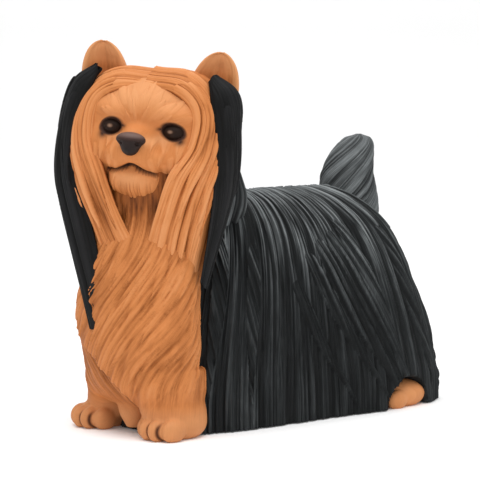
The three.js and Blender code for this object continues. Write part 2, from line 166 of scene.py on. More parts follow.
def lock_set(seed, count, across, down, length, half, lean, rise, bend=(0.0, 0.0)):
    """Random locks as lay_locks takes them, each of their values drawn between the two given."""
    r = np.random.default_rng(seed)
    even = (np.arange(count) + r.uniform(0.1, 0.9, count)) / count
    r.shuffle(even)
    drawn = [r.uniform(low, high, count) for low, high in (down, length, half, lean, rise, bend, (0, 1))]
    return list(zip(mix(*across, even), *drawn))


def lay_locks(across, down, locks, strand=0.42, groove=0.16, onset=0.08):
    """Lays tapered locks over a surface in order, each over the ones before where it stands higher.

    A lock is [place across, start, length, half width, lean, height, bend, mark]. Returns the height, the
    mark of the lock on top, and a coordinate across its strands.
    """
    height = np.zeros(across.shape)
    tone = np.zeros(across.shape)
    fibre = across.copy()
    for at, start, length, half, lean, rise, bend, mark in locks:
        s = (down - start) / length
        centre = at + lean * (down - start) + bend * length * s**2
        width = half * (1 - 0.82 * smooth((s - 0.45) / 0.55)) * (0.6 + 0.4 * smooth(s / 0.15))
        u = (across - centre) / width
        near = (np.abs(u) < 1) & (s > 0) & (s < 1)
        if not near.any():
            continue
        un, sn = u[near], s[near]
        round_top = np.sqrt(1 - un**2)
        ends = smooth(sn / onset) * (1 - 0.8 * smooth((sn - 0.93) / 0.07))
        h = rise * (round_top * (0.65 + 0.35 * sn) + 0.3 * sn) * ends
        lines = un * half / strand * np.pi + mark * 6 + 0.8 * np.sin(sn * 7 + mark * 40)
        h = h - groove * (1 - np.abs(np.cos(lines))) * round_top * smooth(sn * 5)
        over = h > height[near]
        where = tuple(index[over] for index in np.nonzero(near))
        height[where] = h[over]
        tone[where] = mark
        fibre[where] = un[over] * half + mark * 37
    return height, tone, fibre


# Meshes

def linked(name, data):
    """A new object, linked into the scene."""
    made = bpy.data.objects.new(name, data)
    bpy.context.scene.collection.objects.link(made)
    return made


def mesh_piece(name, points, faces, data, nodes, slot, uv=None):
    """Makes one piece from points in millimetres, faces, and the per-point numbers that its paint reads."""
    mesh = bpy.data.meshes.new(name)
    mesh.vertices.add(len(points))
    mesh.vertices.foreach_set("co", ((points + SHIFT) * MM).astype(np.float32).ravel())
    mesh.loops.add(faces.size)
    mesh.loops.foreach_set("vertex_index", faces.astype(np.int32).ravel())
    mesh.polygons.add(len(faces))
    mesh.polygons.foreach_set("loop_start", np.arange(0, faces.size, faces.shape[1], dtype=np.int32))
    mesh.update(calc_edges=True)
    mesh.validate()
    mesh.polygons.foreach_set("use_smooth", np.ones(len(mesh.polygons), bool))
    for key, values in data.items():
        layer = mesh.attributes.new(key, "FLOAT", "POINT")
        layer.data.foreach_set("value", np.asarray(values, np.float32).ravel())
    if uv is not None:
        mesh.uv_layers.new(name="OFBake").data.foreach_set("uv", uv.astype(np.float32).ravel())
    mesh.materials.append(PAINTS[slot])
    piece = linked(name, mesh)
    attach(piece, "root")
    if nodes:
        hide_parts(*nodes)


def grid_faces(rows, columns, closed):
    """The quads of a grid of points, joined up across where it is closed."""
    i, j = np.meshgrid(np.arange(rows - 1), np.arange(columns if closed else columns - 1), indexing="ij")
    here, beside = i * columns + j, i * columns + (j + 1) % columns
    return np.stack([here, beside, beside + columns, here + columns], -1).reshape(-1, 4)


def grid_uv(rows, columns, closed):
    """The same quads laid out flat, corner by corner, just inside the unit square."""
    wide = columns if closed else columns - 1
    i, j = np.meshgrid(np.arange(rows - 1), np.arange(wide), indexing="ij")
    u = lambda a: a / wide * 0.98 + 0.01
    v = lambda a: a / (rows - 1) * 0.98 + 0.01
    return np.stack([u(j), v(i), u(j + 1), v(i), u(j + 1), v(i + 1), u(j), v(i + 1)], -1).reshape(-1, 2)


def outward_faces(points, faces, uv=None):
    """Faces turned so that their normals point out of the shape as a whole."""
    a, b, c = (points[faces[:, k]] - points.mean(0) for k in (0, 1, 2))
    if np.einsum("ij,ij->i", a, np.cross(b, c)).sum() < 0:
        faces = faces[:, ::-1]
        if uv is not None:
            uv = uv.reshape(-1, 4, 2)[:, ::-1].reshape(-1, 2)
    return faces, uv


def loft_piece(name, grid, data, nodes, slot, closed=True):
    """Makes one piece from a grid of points, row by row, closed across unless told otherwise."""
    rows, columns = grid.shape[:2]
    points = grid.reshape(-1, 3)
    faces, uv = outward_faces(points, grid_faces(rows, columns, closed), grid_uv(rows, columns, closed))
    mesh_piece(name, points, faces, data, nodes, slot, uv)


def raised(grid, height):
    """A grid of points, closed across, moved out along its normals by a height."""
    across = np.roll(grid, -1, 1) - np.roll(grid, 1, 1)
    normal = unit(np.cross(across, np.gradient(grid, axis=0)))
    out = np.sign(np.einsum("ijk,ijk->", normal, grid - grid.mean(1, keepdims=True)))
    return grid + normal * (height * out)[..., None]


# Paint

PAINTS = {}


def node(tree, kind, **values):
    """A new node, with values for its sockets, or else for its own settings."""
    made = tree.nodes.new(kind)
    for key, value in values.items():
        if key in made.inputs:
            made.inputs[key].default_value = value
        else:
            setattr(made, key, value)
    return made


def ramp(tree, source, stops):
    """A colour read from stops, each a place from 0 to 1 and its colour."""
    made = node(tree, "ShaderNodeValToRGB")
    while len(made.color_ramp.elements) < len(stops):
        made.color_ramp.elements.new(0.5)
    for element, (place, colour) in zip(made.color_ramp.elements, stops):
        element.position = place
        element.color = (*colour, 1)
    tree.links.new(source, made.inputs["Fac"])
    return made.outputs["Color"]


def attribute(tree, name):
    """One of the piece's own per-point numbers."""
    return node(tree, "ShaderNodeAttribute", attribute_name=name).outputs["Fac"]


def maths(tree, operation, a, b, clamp=False):
    """One sum on two values, each a number or a socket."""
    made = node(tree, "ShaderNodeMath", operation=operation, use_clamp=clamp)
    for socket, value in zip(made.inputs, (a, b)):
        if isinstance(value, (int, float)):
            socket.default_value = value
        else:
            tree.links.new(value, socket)
    return made.outputs[0]


def blend(tree, factor, a, b):
    """A mix of two colours, each a tuple or a socket."""
    made = node(tree, "ShaderNodeMix", data_type="RGBA")
    for socket, value in ((made.inputs[0], factor), (made.inputs[6], a), (made.inputs[7], b)):
        if isinstance(value, tuple):
            socket.default_value = (*value, 1)
        else:
            tree.links.new(value, socket)
    return made.outputs[2]


def streaks(tree, scale, stretch, detail=3.0):
    """Noise drawn out along the strands: it reads how far a point is across and along its lock."""
    place = node(tree, "ShaderNodeCombineXYZ")
    tree.links.new(maths(tree, "MULTIPLY", attribute(tree, "fibre"), scale), place.inputs[0])
    tree.links.new(maths(tree, "MULTIPLY", attribute(tree, "down"), scale / stretch), place.inputs[1])
    noise = node(tree, "ShaderNodeTexNoise", Scale=1.0, Detail=detail, Roughness=0.6)
    tree.links.new(place.outputs[0], noise.inputs["Vector"])
    return noise.outputs["Fac"]


def mottle(tree, scale):
    """Cloudy noise through the object, whatever the hair does."""
    place = node(tree, "ShaderNodeTexCoord")
    noise = node(tree, "ShaderNodeTexNoise", Scale=scale, Detail=4.0, Roughness=0.6)
    tree.links.new(place.outputs["Object"], noise.inputs["Vector"])
    return noise.outputs["Fac"]


def paint(name, stops, rough, shine, streaked=0.3, mottled=0.15, bump=0.25, dark=None, light=None, lift=None):
    """Paint that runs from the grooves to the crests of the sculpted hair, broken up along the strands.

    The dark and light colours show where a piece's own numbers ask for them. Lift is the colour brushed over
    the crests, and the power that keeps it off the grooves.
    """
    material = PAINTS[name] = bpy.data.materials.new(name)
    material.use_nodes = True
    tree = material.node_tree
    shader = tree.nodes["Principled BSDF"]
    fine = streaks(tree, 5.0, 14.0)
    broken = maths(tree, "MULTIPLY", maths(tree, "SUBTRACT", fine, 0.5), streaked * 2)
    cloudy = maths(tree, "MULTIPLY", maths(tree, "SUBTRACT", mottle(tree, 260.0), 0.5), mottled * 2)
    level = maths(tree, "ADD", maths(tree, "ADD", attribute(tree, "crest"), broken), cloudy, clamp=True)
    colour = ramp(tree, level, stops)
    if lift:
        brushed, power = lift
        crests = maths(tree, "POWER", level, power)
        amount = maths(tree, "MULTIPLY", attribute(tree, "brushed"), crests, clamp=True)
        colour = blend(tree, amount, colour, brushed)
    if light:
        colour = blend(tree, attribute(tree, "light"), colour, light)
    if dark:
        colour = blend(tree, attribute(tree, "dark"), colour, dark)
    tree.links.new(colour, shader.inputs["Base Color"])
    roughness = node(tree, "ShaderNodeMapRange", **{"To Min": rough[0], "To Max": rough[1]})
    tree.links.new(fine, roughness.inputs["Value"])
    tree.links.new(roughness.outputs[0], shader.inputs["Roughness"])
    shader.inputs["Specular IOR Level"].default_value = shine
    relief = node(tree, "ShaderNodeBump", Strength=bump, Distance=0.0001)
    tree.links.new(streaks(tree, 9.0, 22.0, 2.0), relief.inputs["Height"])
    tree.links.new(relief.outputs[0], shader.inputs["Normal"])


paint(
    "tan_paint",
    [
        (0.0, (0.1, 0.024, 0.004)), (0.3, (0.3, 0.09, 0.02)),
        (0.62, (0.56, 0.2, 0.06)), (1.0, (0.67, 0.28, 0.108)),
    ],
    (0.5, 0.66),
    streaked=0.16,
    mottled=0.16,
    dark=(0.036, 0.015, 0.01),
    light=(0.73, 0.36, 0.165),
    shine=0.15,
)
paint(
    "grey_paint",
    [
        (0.0, (0.001, 0.0012, 0.0014)), (0.4, (0.004, 0.005, 0.0054)),
        (0.75, (0.01, 0.012, 0.013)), (1.0, (0.023, 0.028, 0.03)),
    ],
    (0.6, 0.75),
    streaked=0.42,
    lift=((0.26, 0.28, 0.285), 2.5),
    shine=0.2,
)
paint(
    "black_paint",
    [(0.0, (0.001, 0.001, 0.001)), (0.5, (0.003, 0.003, 0.003)), (1.0, (0.012, 0.012, 0.013))],
    (0.6, 0.75),
    streaked=0.25,
    shine=0.18,
)
paint(
    "nose_paint",
    [(0.0, (0.008, 0.003, 0.002)), (0.5, (0.05, 0.025, 0.02)), (1.0, (0.15, 0.09, 0.075))],
    (0.4, 0.55),
    streaked=0.05,
    shine=0.2,
)
paint(
    "eye_paint",
    [(0.0, (0.008, 0.004, 0.003)), (0.5, (0.026, 0.012, 0.007)), (1.0, (0.3, 0.18, 0.12))],
    (0.5, 0.6),
    streaked=0.0,
    bump=0.03,
    shine=0.12,
)


# Body coat

COAT_HALF_WIDTH = 12.9
HEM_FRONT, HEM_BACK = -24.0, 41.0
PART_FRONT, PART_BACK = -12.0, 20.0
HAUNCH = 1.3
PLAN_POWER = 2 / 3.6
HEM_LENGTH = 84.0
STRAND_LENGTH = 48.0
# the middle and the half sizes of the hollow over the left hind paw
PAW_HOLLOW = (np.array([12.6, 27.4, 0]), np.array([6.5, 5.4, 5.6]))
# rows of [share of the way down, share of the half width, height, share of the way from parting to hem]
COAT_PROFILE = [
    [0, 0.02, 39.2, 0],
    [0.06, 0.24, 38.7, 0.07],
    [0.13, 0.5, 37, 0.21],
    [0.24, 0.74, 33.4, 0.4],
    [0.38, 0.88, 28.2, 0.55],
    [0.53, 0.945, 22, 0.69],
    [0.72, 0.975, 13.6, 0.87],
    [0.88, 0.99, 6, 0.98],
    [1, 1, 0.2, 1],
]
# locks that sweep back over the thigh and the rump, as lay_locks takes them
SWEPT = [
    (42, 11, 36, 2.6, 0.36, 1, 0.14, 0.3),
    (37.5, 14, 31, 2, 0.42, 1.1, 0.16, 0.7),
    (47, 9, 37, 2.4, 0.26, 1, 0.1, 0.1),
    (33, 20, 26, 1.7, 0.4, 1, 0.2, 0.5),
    (51.5, 6, 40, 2.2, 0.18, 0.9, 0.08, 0.9),
    (14, 8, 36, 1.9, 0.05, 0.7, -0.05, 0.2),
    (23, 10, 34, 1.8, -0.04, 0.7, 0.05, 0.6),
    (5, 10, 34, 2, 0.02, 0.7, 0, 0.4),
    (66, 8, 38, 2.2, 0.04, 0.8, 0.05, 0.35),
    (76, 8, 38, 2, -0.02, 0.7, -0.04, 0.75),
]
COAT_STRANDS = [(64, 36, 0.36), (140, 24, 0.36), (290, 14, 0.28)]
COAT_SEEDS = {1: 11, -1: 23}


def squared(x):
    """Circle coordinates pushed out towards a rectangle's."""
    return np.sign(x) * np.abs(x) ** PLAN_POWER


def hem_angles(count):
    """Angles from the front middle to the back middle of one side, evenly spaced along the hem."""
    a = np.linspace(-np.pi / 2, np.pi / 2, 2000)
    x, y = squared(np.cos(a)) * COAT_HALF_WIDTH, squared(np.sin(a)) * (HEM_BACK - HEM_FRONT) / 2
    reach = np.concatenate([[0], np.cumsum(np.hypot(np.diff(x), np.diff(y)))])
    return np.interp(np.linspace(0, reach[-1], count), reach, a)


def coat_surface(angle, t):
    """Points and normals of the plain coat, at angles of its plan and shares t of the way down."""
    share, z, fan = np.moveaxis(table(COAT_PROFILE, t), -1, 0)
    cx, cy = squared(np.cos(angle)), squared(np.sin(angle))
    y = mix(mix(PART_FRONT, PART_BACK, (cy + 1) / 2), mix(HEM_FRONT, HEM_BACK, (cy + 1) / 2), fan)
    haunch = HAUNCH * smooth((y - 8) / 18) * smooth(t / 0.5)
    out = unit(np.stack([cx, cy * 0.8, 0 * cx], -1))
    rise = smooth(t / 0.16)[..., None]
    normal = unit(out * rise + np.array([0, 0, 1]) * (1 - rise))
    return np.stack([cx * (share * COAT_HALF_WIDTH + haunch), y, z], -1), normal


def hollow_for_paw(points):
    """Keeps one side of the coat clear of the hind paw that shows under it."""
    middle, axes = PAW_HOLLOW
    inside = 1 - ((points[..., 1] - middle[1]) / axes[1]) ** 2 - (points[..., 2] / axes[2]) ** 2
    deepest = middle[0] - axes[0] * np.sqrt(np.maximum(inside, 0))
    points[..., 0] = np.where(inside > 0, np.minimum(points[..., 0], deepest), points[..., 0])


def coat_panel(side, word, columns=640, rows=148, sole=4):
    """One side of the coat, from the parting down to the hem and turned in under it."""
    across, t = np.meshgrid(np.linspace(0, HEM_LENGTH, columns), np.linspace(0, 1, rows))
    down = t * STRAND_LENGTH
    seed = COAT_SEEDS[side]
    swept, mark, _ = lay_locks(across, down, SWEPT, groove=0.0, onset=0.3)
    lean = np.where(swept > 0.25, mark * 0.37, 0)
    fine = strands(across / HEM_LENGTH + lean - 0.005 * down * (lean > 0), down, COAT_STRANDS, seed)
    height = 0.95 * fine + 0.45 * swept - 0.8
    points, normal = coat_surface(hem_angles(columns) + 0 * t, t)
    edge = smooth(np.minimum(across, HEM_LENGTH - across) / 1.5)
    points = points + normal * (height * mix(0.4, 1, edge))[..., None]
    points[..., 2] = np.maximum(points[..., 2], 0.03)
    points[..., 0] = np.maximum(points[..., 0], 0)
    points[0, :, 0] = 0
    hollow_for_paw(points)
    under = [points[-1] * [1 - k / sole, 1, 1] + [0, 0, 0.25] for k in range(1, sole + 1)]
    grid = np.concatenate([points, np.array(under)]) * [side, 1, 1]
    # dry-brushed in patches on the crests, with painted light that makes it strongest along the back and
    # painted shade that darkens the crests lower down
    patch = mix(0.5, 1.3, noise(across / 4, down / 13, 21, seed + 5))
    shade = 0.16 + 0.84 * smooth((points[..., 2] - 16) / 21)
    pad = lambda a, v: np.concatenate([a, np.full((sole, columns), v)])
    data = {
        "crest": pad(np.clip(fine * mix(0.72, 1, shade), 0, 1), 0.2),
        "brushed": pad(shade * patch * smooth((fine - 0.5) / 0.4), 0),
        "fibre": pad(across + 9 * lean, 0),
        "down": pad(down, 0),
    }
    loft_piece(f"coat_{word}", grid, data, ["torso"] if side > 0 else [], "grey_paint", closed=False)


# Nape and tail: columns of rings, in rows of [height, middle x, middle y, half width, half depth, turn]

NAPE = [
    [30, 0, -9.5, 10.2, 8, 0],
    [36, 0, -10.8, 10.2, 8.4, 4],
    [41, 0.3, -13.2, 10, 7.8, 14],
    [46, 0.4, -15, 9.6, 7, 24],
    [51, 0.2, -16.2, 9, 6.2, 30],
    [55, 0.2, -17, 7.4, 5, 33],
    [57.4, 0.3, -17.6, 4.6, 3.2, 33],
]
TAIL = [
    [31.5, 0, 24.5, 4.8, 6.4, 0],
    [35, 0, 24.8, 4.8, 6.2, 0],
    [38.4, 0, 24.9, 4.5, 5.6, 0],
    [41.4, 0, 24.9, 4.1, 5.2, 0],
    [44.2, 0, 25.8, 3.6, 4.4, 0],
    [46.2, 0, 26.8, 2.9, 3.4, 0],
    [47.3, 0, 27.3, 2.1, 2.4, 0],
    [47.9, 0, 27.6, 0.5, 0.5, 0],
]
NAPE_STRANDS = [(26, 24, 0.5), (60, 16, 0.3), (130, 10, 0.2)]
TAIL_STRANDS = [(26, 20, 0.36), (54, 14, 0.36), (110, 9, 0.28)]


def column(rows, columns, steps):
    """A closed column of rings, and its angles and heights."""
    angle, z = np.meshgrid(full_turn(columns), np.linspace(rows[0][0], rows[-1][0], steps))
    x, y, a, b, turn = np.moveaxis(table(rows, z), -1, 0)
    ax, ay = np.cos(angle) * a, np.sin(angle) * b
    cos, sin = np.cos(np.radians(turn)), np.sin(np.radians(turn))
    return np.stack([x + ax * cos - ay * sin, y + ax * sin + ay * cos, z], -1), angle, z


def nape_piece():
    """The hair down the back of the neck, tucked into the coat at its foot."""
    grid, angle, z = column(NAPE, 300, 110)
    down = 58 - z
    height = strands(angle / (2 * np.pi), down, NAPE_STRANDS, 41)
    tuck = 4 * (1 - smooth((z - 29) / 11))
    data = {"crest": height, "brushed": 0.5 * smooth((height - 0.4) * 2), "fibre": angle * 9, "down": down}
    loft_piece("nape_hair", raised(grid, 0.8 * height - 0.5 - tuck), data, ["nape"], "grey_paint")


def tail_piece():
    """The tail, with strands that wind round it, closed at its foot."""
    grid, angle, z = column(TAIL, 360, 130)
    down = (48 - z) * 1.1
    share = angle / (2 * np.pi) + 0.03 * down
    height = strands(share, down, TAIL_STRANDS, 51)
    grid = raised(grid, (0.45 * height - 0.3) * smooth((48.2 - z) / 3))
    foot = grid[:1].mean(1, keepdims=True) + np.zeros((1, grid.shape[1], 1))
    pad = lambda a: np.concatenate([a[:1], a])
    data = {
        "crest": pad(0.4 + 0.55 * height),
        "brushed": pad(0.25 + 0.4 * smooth((height - 0.3) * 2)),
        "fibre": pad(share * 30),
        "down": pad(down),
    }
    loft_piece("tail_hair", np.concatenate([foot, grid]), data, ["tail"], "grey_paint")


# Sheets of hanging hair

FALL_PATHS = [
    [
        [0.5, -6.4, 5.8], [4.6, -6.6, 5.3], [7.8, -6.5, 2.3], [8, -7.2, -3],
        [5.6, -9, -8], [3.6, -10, -14.5], [1.4, -10.2, -21],
    ],
    [
        [0.5, -0.8, 8.2], [6.4, -1.4, 7.2], [10.7, -1.8, 1.8], [11.5, -3.4, -4.5],
        [10.3, -5.4, -11], [8.8, -6.8, -18], [7, -7.6, -27],
    ],
    [
        [0.5, 4.3, 7.2], [6.4, 4.4, 6.3], [10.8, 3.6, 1.4], [12, 2.2, -5.5],
        [11.9, 0.6, -12], [11.2, -1.2, -18.5], [10.4, -3.2, -29],
    ],
]
FRINGE_PATHS = [
    [
        [9.4, -3, 7.2], [10.4, -4.2, 3.6], [11.4, -4.6, -1.5],
        [12, -5, -7.5], [11.8, -6, -15], [9.9, -6.8, -27.5],
    ],
    [
        [9.6, -2.2, 8], [12.6, -2.4, 5], [14.4, -2, -1],
        [14.8, -2.4, -7.5], [14, -3.4, -15], [10.3, -6.4, -29],
    ],
    [
        [10.4, -1.2, 8], [13.2, 0.4, 4.8], [14.4, 1.4, -1],
        [14.4, 1.2, -7.5], [13.6, -0.6, -15], [10.6, -5.8, -28],
    ],
]
FALL_STRANDS = [(8, 40, 0.5), (18, 24, 0.3), (40, 14, 0.2)]
FRINGE_STRANDS = [(5, 40, 0.5), (12, 26, 0.3), (26, 14, 0.2)]
# locks, as lock_set takes them after its seed
FALL_LOCKS = (9, (0, 12), (-3, 5), (26, 40), (0.9, 1.5), (-0.03, 0.03), (0.3, 0.5), (-0.03, 0.03))
FRINGE_LOCKS = (3, (0.5, 4.5), (2, 10), (20, 28), (0.7, 1.0), (-0.02, 0.02), (0.2, 0.3), (-0.02, 0.02))
FALL_SHEET = dict(span=(12, 45), thickness=2.6, rise=0.9, tips=(9, 0.08), columns=260, rows=230)
FRINGE_SHEET = dict(span=(5, 38), thickness=2.4, rise=0.55, tips=(1, 0.08), columns=110, rows=220, inner=30)
HANG = {1: 2.0, -1: 4.4}  # how far the tips swing to the dog's left or right, to hang plumb
CROWN_LOWER = {1: 0.2, -1: 0.6}
FRINGE_LENGTH = {1: 1.0, -1: 1.24}
FALL_BACK_TIP = (1.6, 1.4)  # how far it lies in and forward
RIGHT_FRINGE_TIP = (1.8, 2.7)  # how far it lies in and forward, over the chest
RIGHT_FRINGE_IN = 2.9  # how far its front edge lies in over the fall
LEFT_FRINGE_IN = 1.1  # how much closer to the head it hangs


def moved(paths, change):
    """Paths with each point put through a change of its x, y and z."""
    return [[change(*point) for point in path] for path in paths]


def hung(paths, side, length=1.0):
    """Paths stretched below the brow, with their tips hanging plumb from the tipped head."""

    def hang(x, y, z):
        return x + side * HANG[side] * smooth((-4 - z) / 26), y, z * (length if z < 0 else 1)

    return moved(paths, hang)


def tucked(paths, root, tip):
    """Paths with the roots moved towards the parting and the tips sunk into the chest."""
    made = []
    for first, *rest, near, last in paths:
        first = [first[0] - root, *first[1:]]
        near = [near[0], near[1] + tip / 4, near[2]]
        last = [last[0], last[1] + tip, last[2]]
        made.append([first, *rest, near, last])
    return made


def fall_paths(side):
    """The paths of one fall of hair."""
    paths = tucked(hung(FALL_PATHS, side), root=1.0, tip=1.8)
    x, y, z = paths[2][-1]
    paths[2][-1] = [x - FALL_BACK_TIP[0], y - FALL_BACK_TIP[1], z]
    return moved(paths, lambda x, y, z: (x, y, z - CROWN_LOWER[side] * smooth((z - 3) / 3)))


def fringe_paths(side):
    """The paths of one fringe. The dog's right one lies in over the fall and the chest."""

    def closer(x, y, z):
        return x - LEFT_FRINGE_IN * smooth((4 - z) / 6) * smooth((z + 26) / 12), y, z

    def over_fall(x, y, z):
        return x - RIGHT_FRINGE_IN * smooth((-4 - z) / 12), y, z

    def over_chest(x, y, z):
        low = smooth((-14 - z) / 20)
        return x - RIGHT_FRINGE_TIP[0] * low, y - RIGHT_FRINGE_TIP[1] * low, z

    front, *others = hung(FRINGE_PATHS, side, FRINGE_LENGTH[side])
    if side > 0:
        return [front, *moved(others, closer)]
    return moved([*moved([front], over_fall), *others], over_chest)


def sheet(side, paths, locks, layers, seed, span, thickness, rise, tips, columns, rows, inner=40):
    """A sheet of hair through its front, middle and back paths, as a grid that is closed round its edges.

    Span is its width and length in millimetres, and tips is how many ragged tips it has and how deep.
    """
    width, length = span
    v, t = np.meshgrid(np.linspace(0, 1, columns), np.linspace(0, 1, rows))
    count, depth = tips
    s = t * (1 - depth * noise(v * count, 0 * v, count, seed))

    def midway(v, s):
        a, b, c = (catmull(path, s) for path in paths)
        front, middle, back = (1 - v) * (1 - 2 * v), 4 * v * (1 - v), v * (2 * v - 1)
        return front[..., None] * a + middle[..., None] * b + back[..., None] * c

    centre = midway(v, s)
    across = midway(np.minimum(v + 0.05, 1), s) - midway(np.maximum(v - 0.05, 0), s)
    along = midway(v, np.minimum(s + 0.03, 1)) - midway(v, np.maximum(s - 0.03, 0))
    normal = unit(np.cross(along, across))
    laid, mark, _ = lay_locks(v * width, s * length, locks, groove=0.0, onset=0.4)
    lock = np.where(laid > 0.12, mark, 0)
    fine = strands(v + lock * 0.37, s * length, layers, seed)
    edge = np.sqrt(np.maximum(0.06, 1 - (2 * v - 1) ** 4))
    taper = mix(1, 0.22, smooth((t - 0.6) / 0.4)) * mix(0.5, 1, smooth(t * 4))
    half = thickness / 2 * edge * taper
    height = ((fine - 0.6) * rise + laid) * np.minimum(edge, mix(0.5, 1, taper))
    outer = centre + normal * (half + height)[..., None]
    pick = np.linspace(columns - 1, 0, inner).astype(int)
    lining = (centre - normal * half[..., None])[:, pick]
    grid = np.concatenate([outer, lining], 1) * [side, 1, 1]
    data = {
        "crest": np.concatenate([np.clip(fine + 0.1 * laid, 0, 1), np.full((rows, inner), 0.2)], 1),
        "fibre": np.concatenate([v * width + lock * 9, (v * width)[:, pick]], 1),
        "down": np.concatenate([s * length, (s * length)[:, pick]], 1),
    }
    return on_head(grid), data


def fall_piece(side, word):
    """The fall of hair on one side of the face, from the parting to the chest."""
    locks = lock_set(61 + side, *FALL_LOCKS)
    grid, data = sheet(side, fall_paths(side), locks, FALL_STRANDS, 63 + side, **FALL_SHEET)
    data.update(dark=0 * data["crest"], light=0 * data["crest"])
    loft_piece(f"face_hair_{word}", grid, data, [f"hair_fall_{word}"], "tan_paint")


def fringe_piece(side, word):
    """The black fringe that hangs from one ear."""
    locks = lock_set(71 + side, *FRINGE_LOCKS)
    grid, data = sheet(side, fringe_paths(side), locks, FRINGE_STRANDS, 73 + side, **FRINGE_SHEET)
    loft_piece(f"ear_hair_{word}", grid, data, [f"ear_fringe_{word}"], "black_paint")


# Ears

EAR_STRANDS = [(22, 9, 0.6), (50, 5, 0.4)]


def ear_piece(side, word, columns=120, rows=90):
    """An upright ear with a rounded tip and a shallow hollow in front."""
    a, t = np.meshgrid(full_turn(columns), np.linspace(0, 1, rows))
    z = mix(3.4, 12.1, t)
    half = 4.3 * np.sqrt(np.maximum(1 - t**2.4, 0.012))
    thick = mix(2.3, 1.1, t) * np.sqrt(np.maximum(1 - t**4, 0.03))
    inward = 1 - np.abs(np.cos(a))
    front = np.where(np.sin(a) < -0.1, inward * 1.5 * (1 - t), 0)
    cup = np.where(np.sin(a) < 0, 1.2 * inward * smooth(t * 2) * smooth((1 - t) * 3), 0)
    x = side * (mix(9, 10.1, t) + np.cos(a) * half)
    y = mix(1.6, 1, t) + np.sin(a) * thick - np.cos(a) ** 2 * 0.9 + front + cup
    down = (1 - t) * 9
    fine = strands(a / (2 * np.pi), down, EAR_STRANDS, 81 + side)
    grid = raised(np.stack([x, y, z], -1), 0.14 * fine)
    tip = grid[-1:].mean(1, keepdims=True) + np.zeros((1, columns, 1))
    pad = lambda v: np.concatenate([v, v[-1:]])
    # painted shade in the hollow at the front of the ear, and painted light on the rest of it
    hollow = smooth(-np.sin(a) * 1.5) * smooth((0.95 - np.abs(np.cos(a))) * 3) * smooth((0.85 - t) * 2.5)
    data = {
        "crest": pad(0.68 + 0.16 * fine - 0.24 * hollow),
        "fibre": pad(a * 4),
        "down": pad(down),
        "dark": pad(0 * t),
        "light": pad(0.5 * (1 - hollow)),
    }
    loft_piece(f"ear_flap_{word}", on_head(np.concatenate([grid, tip])), data, [f"ear_{word}"], "tan_paint")


# Forms that run into one another

def ellipsoid(p, centre, axes):
    """About how far points lie outside an ellipsoid, less than 0 inside it."""
    q = (p - np.array(centre)) / np.array(axes)
    k = np.linalg.norm(q, axis=-1)
    return k * (k - 1) / np.maximum(np.linalg.norm(q / axes, axis=-1), 1e-9)


def fuse(a, b, soft):
    """Two forms as one, run into each other over a soft width."""
    h = np.clip(0.5 + 0.5 * (b - a) / soft, 0, 1)
    return mix(b, a, h) - soft * h * (1 - h)


def carve(a, b, soft):
    """The first form with the second taken out of it."""
    return -fuse(-a, b, soft)


def skin_radius(distance, directions, centre, reach, steps=44):
    """Distance from an inner point to the outermost skin of a form along each direction."""
    low, high = np.zeros(len(directions)), np.full(len(directions), float(reach))
    found = np.zeros(len(directions), bool)
    for k in range(steps):
        r = reach * (1 - k / steps)
        inside = (distance(directions * r + centre) < 0) & ~found
        low[inside] = r
        high[inside] = min(r + reach / steps, reach)
        found |= inside
    for _ in range(12):
        half = (low + high) / 2
        inside = distance(directions * half[:, None] + centre) < 0
        low, high = np.where(inside, half, low), np.where(inside, high, half)
    return (low + high) / 2


def ball(columns, rows):
    """Directions all round, as a grid from the bottom to the top."""
    return direction(*np.meshgrid(full_turn(columns), np.linspace(-1, 1, rows) * np.pi / 2 * 0.99))


# Head: forms of [middle, half sizes, how softly it runs into the ones before], and paired ones on both sides

HEAD_FORMS = [
    ([0, 0.4, 0.3], [9.5, 9.2, 7.7], 1.5),
    ([0, -3.2, 1.9], [7.6, 5.9, 4.9], 1.2),
    ([0, -7.6, -4.6], [4.2, 4.9, 3.3], 1.6),
    ([0, -7.8, -2.3], [2.3, 4.4, 1.9], 1.2),
    ([0, -7.6, -8.6], [4.4, 3.9, 1.7], 0.5),
    ([0, -7.1, -9.9], [4.7, 3.7, 2.4], 0.9),
    ([0.3, -4.8, -12.3], [4.2, 3.6, 3.0], 1.8),
]
PAIRED_FORMS = [
    ([2.5, -8.4, -5.7], [2.8, 3.3, 2.3], 0.7),
    ([5.8, -4.2, -5.2], [4.1, 4.6, 5.2], 1.4),
    ([4.6, -6.5, 1.4], [2.9, 2.3, 1.5], 1),
    ([6.6, -3.6, -0.5], [3.4, 3.6, 5.5], 1.5),
]
SOCKET = ([5.3, -9.1, -1], [2.1, 1.5, 1.3])
HEAD_HEART = np.array([0, -3.4, -2.4])
EYE_RADIUS = 1.55
EYES_TO_LEFT = 0.35  # both eyes sit this much to the dog's left of the nose's line
EYES_BELOW = 0.2
BROW_LOCKS = (42, (-9, 9), (0.8, 5), (2.5, 6), (0.3, 0.7), (-0.12, 0.12), (0.08, 0.22))
CHEEK_LOCKS = (70, (-14, 14), (-2, 12), (2.5, 5), (0.35, 0.65), (-0.3, 0.3), (0.1, 0.24))
BEARD_STRANDS = [(26, 8, 0.5), (56, 5, 0.5)]
SKULL_STRANDS = [(26, 20, 0.6), (56, 12, 0.4)]


def mouth_height(x):
    """The line between the lips: level, and raised in an arch under the nose."""
    return -8.1 + 1.3 * bell(x / 1.9)


